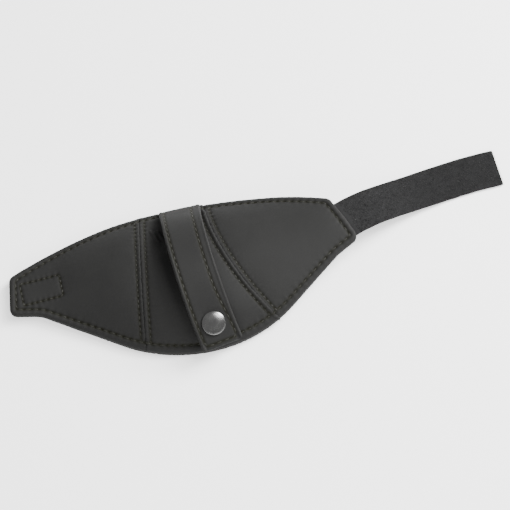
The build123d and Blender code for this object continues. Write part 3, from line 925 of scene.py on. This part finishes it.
def strap_row():
    """Row round the strap: down one side, across the tail and up the other."""
    wide = STRAP_HALF - STRAP_ROW
    end = STRAP_LONG - STRAP_ROW
    down = [(along, -wide) for along in np.arange(9.5, end - 1.5, 0.5)]
    tail = [(end, across) for across in np.arange(-wide + 0.8, wide - 0.9, 0.5)]
    up = [(along, float(right_row(along))) for along, _ in reversed(down)]
    return np.array(down + tail + up)


row = strap_row()
face_points = np.array([v.co for v in face.data.vertices]) / MM
flat_row = strap_place(row[:, 0], row[:, 1], np.full(len(row), FACE_HIGH))
finder = KDTree(len(flat_row))
for i, spot in enumerate(flat_row):
    finder.insert(spot, i)
finder.balance()
near_row = np.array([finder.find(v)[2] for v in face_points])
# Thread dust and painted shade along the strap's stitched row.
tint = face.data.attributes.new("row_dust_and_shade", "FLOAT", "POINT")
tint.data.foreach_set("value", (0.9 * np.exp(-(near_row / 0.85) ** 2)).astype(np.float32))
heights = face_top(row[:, 0], row[:, 1])
spots = strap_place(row[:, 0], row[:, 1], heights - 0.02) * MM
ups = strap_place(row[:, 0], row[:, 1], heights + 1.0) * MM - spots
ups /= np.linalg.norm(ups, axis=1)[:, None]
strap_stitches = stitch_rows("strap_stitches", [(spots, ups)], EDGE_PITCH, 2.9, 0.7,
                             thread.material, slant=0.05)
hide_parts("snap_strap_stitching")
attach(strap_stitches, "snap_strap")


# ---- Snap fastener ------------------------------------------------------------------------
# A nickel-plated brass press snap: a domed cap and a socket are riveted together through the
# strap, a stud and its post through the band. A sprung wire in the socket grips the stud.

nickel = Finish("nickel", metallic=1.0)
where = nickel.place()
haze = nickel.cloud(where, 260.0, 4.0, 0.6)
scratch = nickel.cloud(nickel.place((1, 5, 1)), 1400.0, 3.0, 0.5)
nickel.feed("Base Color", nickel.colours(haze, (0.10, 0.10, 0.099), (0.19, 0.19, 0.187)))
nickel.feed("Roughness", 0.20 + 0.12 * haze)
nickel.relief(scratch, 0.00002, 0.25)

steel = Finish("spring_steel", metallic=1.0)
drawn = steel.cloud(steel.place((1, 1, 6)), 900.0, 3.0, 0.6)
steel.feed("Base Color", steel.colours(drawn, (0.36, 0.36, 0.37), (0.55, 0.55, 0.56)))
steel.feed("Roughness", 0.28 + 0.15 * drawn)

SNAP_FOOT = Vector((-34.4453, -29.5, 11.0512))
SNAP_UP = Vector((0.0, -0.4384, 0.8988)).normalized()
SNAP_SIDE = Vector((1.0, 0.0, 0.0))
SNAP_BACK = SNAP_UP.cross(SNAP_SIDE)


def bridged(shape, rings):
    """Faces between each ring of points and the next; a ring may be one point repeated."""
    for first, second in rings:
        sides = len(first)
        for k in range(sides):
            corners = [first[k], first[(k + 1) % sides], second[(k + 1) % sides], second[k]]
            corners = list(dict.fromkeys(corners))
            if len(corners) > 2:
                shape.faces.new(corners)


def turned(name, outline, finish, sides=96):
    """Lathe a closed outline of (radius, height) about the snap's axis."""
    shape = bmesh.new()
    rings = []
    for radius, height in outline:
        if radius < 1e-6:
            rings.append([shape.verts.new((SNAP_FOOT + SNAP_UP * height) * MM)] * sides)
            continue
        ring = []
        for k in range(sides):
            turn = 2 * math.pi * k / sides
            spoke = SNAP_SIDE * math.cos(turn) + SNAP_BACK * math.sin(turn)
            ring.append(shape.verts.new((SNAP_FOOT + SNAP_UP * height + spoke * radius) * MM))
        rings.append(ring)
    bridged(shape, zip(rings, rings[1:] + rings[:1]))
    bmesh.ops.recalc_face_normals(shape, faces=shape.faces)
    piece = from_shape(name, shape)
    smooth(piece)
    piece.data.materials.append(finish.material)
    return piece


def softened(outline, bend=0.12):
    """Outline with each corner off the axis rounded over."""
    line = []
    count = len(outline)
    for i, (radius, height) in enumerate(outline):
        here = np.array([radius, height])
        back = np.array(outline[i - 1]) - here
        ahead = np.array(outline[(i + 1) % count]) - here
        if radius < 1e-6:
            line.append((radius, height))
            continue
        reach = min(bend, np.linalg.norm(back) / 2.2, np.linalg.norm(ahead) / 2.2)
        first = here + back / np.linalg.norm(back) * reach
        last = here + ahead / np.linalg.norm(ahead) * reach
        for t in (0, 0.33, 0.67, 1):
            point = first * (1 - t) ** 2 + here * 2 * t * (1 - t) + last * t * t
            line.append((float(point[0]), float(point[1])))
    return line


BORE = 1.35
CEILING = 3.6
DOME_SIDE, DOME_FOOT, DOME_RISE, DOME_TURN = 6.0, 6.9, 1.35, 1.25
dome = []
for a in np.linspace(DOME_TURN, 0, 18):
    share = (math.cos(a) - math.cos(DOME_TURN)) / (1 - math.cos(DOME_TURN))
    dome.append((DOME_SIDE * math.sin(a) / math.sin(DOME_TURN), DOME_FOOT + DOME_RISE * share))
rolled_rim = [(6.02 + 0.23 * math.cos(a), 6.55 + 0.36 * math.sin(a))
              for a in np.linspace(-1.5, 1.2, 9)]
cap_line = [(0, CEILING), (1.2, CEILING), (1.2, 6.18), (5.7, 6.18)] + rolled_rim + dome[1:]
cap = turned("snap_cap_dome", cap_line, nickel)
socket_line = softened([
    (3.6, 1.2), (4.7, 1.2), (5.0, 1.5), (5.0, 3.92), (BORE, 3.92), (BORE, CEILING),
    (3.6, CEILING), (4.6, CEILING - 0.4), (4.6, 1.6), (3.6, 1.6)])
socket = turned("snap_socket_cup", socket_line, nickel)
stud_line = softened([
    (BORE, 0.15), (4.6, 0.15), (4.6, 0.6), (4.2, 0.9), (1.5, 0.9), (1.5, 2.25), (2.1, 2.6),
    (2.1, 2.9), (1.6, 3.3), (0, 3.3), (0, 2.25), (BORE, 2.25)])
stud = turned("snap_stud_ball", stud_line, nickel)
post_node = nodes["snap_post"]
heights = (coordinates(post_node.data) / MM - np.array(SNAP_FOOT)) @ np.array(SNAP_UP)
foot_low = float(heights.min())
post_line = softened([
    (0, foot_low), (4.3, foot_low), (4.6, foot_low + 0.3), (4.6, foot_low + 0.6),
    (1.2, foot_low + 0.6), (1.2, 2.2), (0, 2.2)])
post = turned("snap_rivet_post", post_line, nickel)


def wire_loop(name, height, long, wide, gauge):
    """Round wire bent to a slot shape across the snap."""
    path = rounded([(-long, -wide), (long, -wide), (long, wide), (-long, wide)],
                   [wide * 0.98] * 4, step=0.25)[:-1]
    shape = bmesh.new()
    rings = []
    for i, (a, b) in enumerate(path):
        ahead = path[(i + 1) % len(path)] - path[i - 1]
        ahead /= np.linalg.norm(ahead)
        middle = SNAP_FOOT + SNAP_SIDE * a + SNAP_BACK * b + SNAP_UP * height
        outward = SNAP_SIDE * ahead[1] - SNAP_BACK * ahead[0]
        rings.append([
            shape.verts.new((middle + (outward * math.cos(t) + SNAP_UP * math.sin(t)) * gauge) * MM)
            for t in np.linspace(0, 2 * math.pi, 12, endpoint=False)])
    bridged(shape, zip(rings, rings[1:] + rings[:1]))
    bmesh.ops.recalc_face_normals(shape, faces=shape.faces)
    piece = from_shape(name, shape)
    smooth(piece)
    piece.data.materials.append(steel.material)
    return piece


spring = wire_loop("snap_spring_wire", 1.95, 4.15, 1.98, 0.29)
for piece, node, body, finish in (
        (cap, "snap_cap", "snap_strap", "nickel"), (socket, "snap_socket", "snap_strap", "nickel"),
        (spring, "snap_socket_spring", "snap_strap", "spring_steel"),
        (stud, "snap_stud", "band", "nickel"), (post, "snap_post", "band", "nickel")):
    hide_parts(node)
    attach(piece, body)


# ---- Hook patch ---------------------------------------------------------------------------
# Stiff woven hook tape, sewn flat behind the nose tip. Rows of small moulded hooks point
# down to catch the loops of the tape.

hook_tape = Finish("hook_tape", roughness=0.5)
speck = hook_tape.cloud(hook_tape.place(), 500.0, 3.0, 0.5)
hook_tape.feed("Base Color", hook_tape.colours(speck, (0.012, 0.012, 0.013), (0.03, 0.03, 0.032)))
hook_tape.relief(speck, 0.0001, 0.4)

PATCH_RISE = math.radians(5.336)
PATCH_AT = Vector((-118.0, 12.5, 2.553))
PATCH_ALONG = Vector((math.cos(PATCH_RISE), 0, math.sin(PATCH_RISE)))
PATCH_UP = Vector((-math.sin(PATCH_RISE), 0, math.cos(PATCH_RISE)))


def patch_place(along, across, up):
    """Place on the patch from its middle: along, across and up."""
    return (PATCH_AT + PATCH_ALONG * along + Vector((0, across, 0)) + PATCH_UP * up) * MM


PATCH_HALF_LONG, PATCH_HALF_WIDE = 13.0, 8.5
corners = [(a * PATCH_HALF_LONG, b * PATCH_HALF_WIDE)
           for a, b in ((-1, -1), (1, -1), (1, 1), (-1, 1))]
outline = rounded(corners, [2.0] * 4, step=0.5)[:-1]
shape = bmesh.new()
levels = [(0.25, 0.0), (0.0, -0.12), (0.0, -0.38), (0.2, -0.5)]   # inset, height
rings = []
for inset, height in levels:
    shrink = 1 - inset / np.maximum(np.linalg.norm(outline, axis=1), 1)[:, None]
    rings.append([shape.verts.new(patch_place(a, b, height)) for a, b in outline * shrink])
bridged(shape, zip(rings, rings[1:]))
for ring in (rings[0], rings[-1]):
    shape.faces.new(ring)
bmesh.ops.recalc_face_normals(shape, faces=shape.faces)
web = from_shape("hook_patch_web", shape)
web.data.materials.append(hook_tape.material)


def curl_tree(name, spread):
    """Curled yarns or hooks that stand on a mesh: spread at random, or on its points."""
    tree = Tree(name, {"Density": 2.0e6, "Radius": 0.0003, "Sweep": math.pi, "Yarn": 0.00005,
                       "Lean": 0.4, "Least": 0.7, "Most": 1.1, "Seed": 0})
    given = tree.given
    arc = tree.add("GeometryNodeCurveArc", Resolution=6, Radius=given["Radius"],
                   Sweep_Angle=given["Sweep"])
    section = tree.add("GeometryNodeCurvePrimitiveCircle", Resolution=3, Radius=given["Yarn"])
    body = tree.add("GeometryNodeCurveToMesh", Fill_Caps=True, Curve=arc["Curve"],
                    Profile_Curve=section["Curve"])
    back = tree.add("ShaderNodeMath", {"operation": "MULTIPLY"}, {0: given["Radius"], 1: -1.0})
    shift = tree.add("ShaderNodeCombineXYZ", X=back["Value"])
    stand = tree.add("GeometryNodeTransform", Rotation=(math.pi / 2, 0, 0),
                     Geometry=body["Mesh"], Translation=shift["Vector"])
    if spread:
        spots = tree.add("GeometryNodeDistributePointsOnFaces", Mesh=given["Geometry"],
                         Density=given["Density"], Seed=given["Seed"])
        points_out, upright = spots["Points"], spots
    else:
        normal = tree.add("GeometryNodeInputNormal")
        upright = tree.add("FunctionNodeAlignRotationToVector", {"axis": "Z"},
                           Vector=normal["Normal"])
        points_out = given["Geometry"]
    less = tree.add("ShaderNodeMath", {"operation": "MULTIPLY"}, {0: given["Lean"], 1: -1.0})
    least = tree.add("ShaderNodeCombineXYZ", X=less["Value"], Y=less["Value"])
    most = tree.add("ShaderNodeCombineXYZ", X=given["Lean"], Y=given["Lean"],
                    Z=2 * math.pi if spread else 0.25)
    chance = tree.add("FunctionNodeRandomValue", {"data_type": "FLOAT_VECTOR"},
                      Min=least["Vector"], Max=most["Vector"], Seed=given["Seed"])
    turn = tree.add("FunctionNodeEulerToRotation", Euler=chance["Value"])
    both = tree.add("FunctionNodeRotateRotation", {"rotation_space": "LOCAL"},
                    Rotation=upright["Rotation"], Rotate_By=turn["Rotation"])
    # A number's limits are this node's third and fourth sockets, and its second output
    sizes = tree.add("FunctionNodeRandomValue", {"data_type": "FLOAT"},
                     {2: given["Least"], 3: given["Most"]}, Seed=given["Seed"])
    laid = tree.add("GeometryNodeInstanceOnPoints", Points=points_out,
                    Instance=stand["Geometry"], Rotation=both["Rotation"], Scale=sizes[1])
    return tree.finished(laid["Instances"])


def grown(name, base, tree, **sizes):
    """Yarns or hooks grown on a helper mesh, as one plain mesh; the helper goes."""
    modifier = base.modifiers.new("curls", "NODES")
    modifier.node_group = tree
    for key, value in sizes.items():
        modifier[socket_id(tree, key)] = value
    piece = evaluated(base, name)
    drop(base)
    smooth(piece)
    return piece


def helper(name, verts, faces):
    """Helper mesh in millimetres."""
    mesh = bpy.data.meshes.new(name)
    mesh.from_pydata([tuple(Vector(v) * MM) for v in verts], [], faces)
    return linked(name, mesh)


HOOKS_LONG, HOOKS_WIDE = 21, 14         # hooks in a row, and rows
spots, squares = [], []
for j in range(HOOKS_WIDE):
    for i in range(HOOKS_LONG):
        along = -12.0 + 24.0 * i / (HOOKS_LONG - 1)
        across = -7.6 + 15.2 * j / (HOOKS_WIDE - 1)
        spots.append(patch_place(along, across, -0.49) / MM)
for j in range(HOOKS_WIDE - 1):
    for i in range(HOOKS_LONG - 1):
        k = j * HOOKS_LONG + i
        squares.append((k, k + HOOKS_LONG, k + HOOKS_LONG + 1, k + 1))
hooks = grown("hook_patch_hooks", helper("hook_grid", spots, squares),
              curl_tree("hook_rows", spread=False), Radius=0.00032, Sweep=3.9, Yarn=0.00007,
              Lean=0.12, Least=0.9, Most=1.0, Seed=3, Material=hook_tape.material)
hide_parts("hook_patch")
for piece in (web, hooks):
    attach(piece, "band")


# ---- Loop tape ----------------------------------------------------------------------------
# Soft loop tape, sewn into the temple end. It falls in an easy S to the table and lies
# there; its short napped pile stands on a woven web, and the cut end frays a little.

TAPE_CENTRE, TAPE_BOW = np.array([139.759, -238.186]), 265.0
TAPE_START = math.radians(109.845)
ROOT_HINGE = np.array([49.799, 11.0771])
ROOT_Z = 13.4555
TAPE_FOLD = 35.0                        # a place along its middle, which sets the slope's heading
SLOPE_HEADING = TAPE_START - math.pi / 2 - TAPE_FOLD / TAPE_BOW / 2
SLOPE_AHEAD = np.array([math.cos(SLOPE_HEADING), math.sin(SLOPE_HEADING)])
TAPE_END = 92.5                         # along its middle from the root hinge
TAPE_WIDE = 11.15                       # half width
fall = rounded([(-12.0, ROOT_Z + 1.2), (-1.0, ROOT_Z + 0.3), (14.0, ROOT_Z - 2.6),
                (42.0, 2.1), (62.0, 0.8), (140.0, 0.8)], [0.0, 30.0, 60.0, 90.0, 80.0, 0.0],
               closed=False, step=0.4)


def tape_place(along, across, height):
    """Place on the tape: how far from its root hinge, across, and up from its middle."""
    turn = TAPE_START - np.maximum(along, 0) / TAPE_BOW
    ahead = np.stack([np.sin(turn), -np.cos(turn)], 1)
    side = np.stack([-ahead[:, 1], ahead[:, 0]], 1)
    middle = TAPE_CENTRE + TAPE_BOW * np.stack([np.cos(turn), np.sin(turn)], 1)
    plan = middle + np.minimum(along, 0)[:, None] * ahead + across[:, None] * side
    run = (plan - ROOT_HINGE) @ SLOPE_AHEAD
    z = np.interp(run, fall[:, 0], fall[:, 1])
    slope = np.interp(run, fall[:, 0], np.gradient(fall[:, 1], fall[:, 0]))
    # Inside the hem the tape takes the dome of the band
    dome_drop = (plan[:, 1] - 11.3) ** 2 / (2 * 67.0) - 0.25
    z = z - dome_drop * (1 - ramp(along, -1.5, 5.0))
    lean = 1 / np.sqrt(1 + slope**2)
    shift = -slope * lean * height
    return np.stack([plan[:, 0] + shift * SLOPE_AHEAD[0], plan[:, 1] + shift * SLOPE_AHEAD[1],
                     z + lean * height], 1)


def tape_half(along):
    """Half width of the web, its selvedge a little uneven."""
    return TAPE_WIDE - 0.15 + 0.10 * noise.noise(Vector((along / 5.0, 2.2, 0.0)))


def web_top(along, across):
    """Top of the web, a little uneven from weaving and handling."""
    waves = [noise.noise(Vector((a / 12, b / 8, 1.7))) for a, b in zip(along, across)]
    return 0.42 + 0.06 * np.array(waves) - 0.5 * edge_fall(across, TAPE_WIDE - 0.1, 0.6)


def web_low(along, across):
    """Underside of the web."""
    return -0.78 + 0.4 * edge_fall(across, TAPE_WIDE - 0.1, 0.5)


loop_tape = Finish("loop_tape", roughness=0.95)
where = loop_tape.place()
matted = loop_tape.cloud(where, 120.0, 5.0, 0.65)
yarns = loop_tape.cloud(where, 1500.0, 3.0, 0.6)
loop_tape.feed("Base Color", loop_tape.colours(0.25 * matted + 0.75 * yarns,
                                               (0.0055, 0.0055, 0.0056), (0.0150, 0.0150, 0.0153)))
loop_tape.relief(yarns, 0.0002, 0.7)
loop_tape.shader.inputs["Specular IOR Level"].default_value = 0.15
loop_tape.shader.inputs["Sheen Weight"].default_value = 0.08
loop_tape.shader.inputs["Sheen Roughness"].default_value = 0.5

SPLIT = 18.0
lengths = {
    "root": (np.append(np.arange(-5.6, SPLIT - 0.1, 0.45), [SPLIT - 0.02, SPLIT]),
             ("band", "tape_slope"), (-1.3, 1.3)),
    "end": (np.concatenate([[SPLIT, SPLIT + 0.02], np.arange(SPLIT + 0.5, TAPE_END, 0.5),
                            [TAPE_END]]), ("tape_slope", "tape_end"),
            (TAPE_FOLD - 6.0, TAPE_FOLD + 6.0)),
}
loops = curl_tree("loop_pile", spread=True)
standing = {"root": ("loop_tape_root", "loop_tape_slope"), "end": ("loop_tape_end",)}


def skin_of(name, stations, place_at, top, half, step=0.9):
    """Open sheet over a strip's top, for growing a pile on."""
    shares = np.linspace(-0.97, 0.97, int(2 * TAPE_WIDE / step))
    verts, faces = [], []
    for station in stations:
        across = shares * half(station)
        along = np.full(len(across), station)
        verts += [tuple(p) for p in place_at(along, across, top(along, across) - 0.05)]
    wide = len(shares)
    for k in range(len(stations) - 1):
        for i in range(wide - 1):
            a = k * wide + i
            faces.append((a, a + wide, a + wide + 1, a + 1))
    return helper(name, verts, faces)


def between(piece, ends):
    """Bake a piece of tape's transform into its mesh; marks at the two ends are worked out but not
    used.
    """
    marks = [tape_place(np.array([float(end)]), np.zeros(1), np.zeros(1))[0] * MM for end in ends]
    marks[1][2] = marks[0][2] = (marks[0][2] + marks[1][2]) / 2
    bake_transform(piece)


for length, (stations, bodies, ends) in lengths.items():
    ribbon = strip(f"tape_web_{length}", stations, tape_half, web_low, web_top, tape_place)
    ribbon.data.materials.append(loop_tape.material)
    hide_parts(*standing[length])
    shown = stations[stations > 0.4] if length == "root" else stations
    turf = skin_of(f"turf_{length}", shown, tape_place, web_top, tape_half)
    if np.mean([polygon.normal.z for polygon in turf.data.polygons]) < 0:
        turf.data.flip_normals()
    pile = grown(f"tape_pile_{length}", turf, loops, Density=3.2e6, Radius=0.00034, Sweep=math.pi,
                 Yarn=0.00006, Lean=0.8, Least=0.6, Most=1.25, Seed=11,
                 Material=loop_tape.material)
    for piece in (ribbon, pile):
        between(piece, ends)

# Frayed yarns at the cut end, clear of the table
FRAY_SPOTS = 30
edge = np.linspace(-TAPE_WIDE + 0.4, TAPE_WIDE - 0.4, FRAY_SPOTS)
full = np.full(FRAY_SPOTS, TAPE_END)
cut = [tuple(p) for height in (-0.2, 0.3)
       for p in tape_place(full, edge, np.full(FRAY_SPOTS, height))]
cut_faces = [(i, i + 1, i + 1 + FRAY_SPOTS, i + FRAY_SPOTS) for i in range(FRAY_SPOTS - 1)]
cut_end = helper("cut_end", cut, cut_faces)
if cut_end.data.polygons[0].normal.x < 0:
    cut_end.data.flip_normals()
fray = grown("tape_frayed_end", cut_end, loops, Density=7.0e6, Radius=0.0012, Sweep=0.9,
             Yarn=0.00005, Lean=0.5, Least=0.4, Most=1.0, Seed=5, Material=loop_tape.material)
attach(fray, "tape_end")


# ---- Floor, light and camera --------------------------------------------------------------
# The patch lies hollow side down on a plain pale table under a soft light from behind.

TABLE_REACH, TABLE_TOP = 900, -0.02
floor = helper("table_top", [(a * TABLE_REACH, b * TABLE_REACH, TABLE_TOP)
                             for a, b in ((-1, -1), (1, -1), (1, 1), (-1, 1))], [(0, 1, 2, 3)])
table = Finish("table_white", roughness=0.6)
paper = table.cloud(table.place(), 30.0, 2.0, 0.5)
table.feed("Base Color", table.colours(paper, (0.88, 0.88, 0.88), (0.90, 0.90, 0.90)))
table.shader.inputs["Emission Color"].default_value = (1, 1, 1, 1)
table.shader.inputs["Emission Strength"].default_value = 0.9
floor.data.materials.append(table.material)


def light(name, place, aim, size, power, gloss=True):
    """Soft square light aimed at a point, with or without its own highlight."""
    lamp = bpy.data.lights.new(name, "AREA")
    lamp.size = size
    lamp.energy = power
    carrier = bpy.data.objects.new(name, lamp)
    carrier.location = place
    carrier.rotation_euler = (Vector(aim) - Vector(place)).to_track_quat("-Z", "Y").to_euler()
    carrier.visible_glossy = gloss
    bpy.context.scene.collection.objects.link(carrier)


light("key_light", (1.00, 0.42, 0.74), (0, 0, 0), 0.60, 50.0)
light("top_light", (0.72, 0.10, 1.20), (0, 0, 0), 0.70, 20.0)
light("front_light", (-0.25, -1.10, 0.30), (0, 0, 0), 1.20, 26.0, gloss=False)
world = bpy.data.worlds.new("studio")
world.use_nodes = True
world.node_tree.nodes["Background"].inputs["Color"].default_value = (1, 1, 1, 1)
world.node_tree.nodes["Background"].inputs["Strength"].default_value = 0.62
bpy.context.scene.world = world

lens = bpy.data.cameras.new("camera")
lens.lens = 120.0
lens.sensor_width = 36.0
camera = bpy.data.objects.new("camera", lens)
swing, lift = math.radians(14), math.radians(65)
backwards = Vector((-math.sin(swing) * math.cos(lift), -math.cos(swing) * math.cos(lift),
                    math.sin(lift)))
target = Vector((-0.0023, 0.0080, 0.0))
camera.location = target + backwards * 0.918
camera.rotation_euler = (-backwards).to_track_quat("-Z", "Y").to_euler()
bpy.context.scene.collection.objects.link(camera)
bpy.context.scene.camera = camera
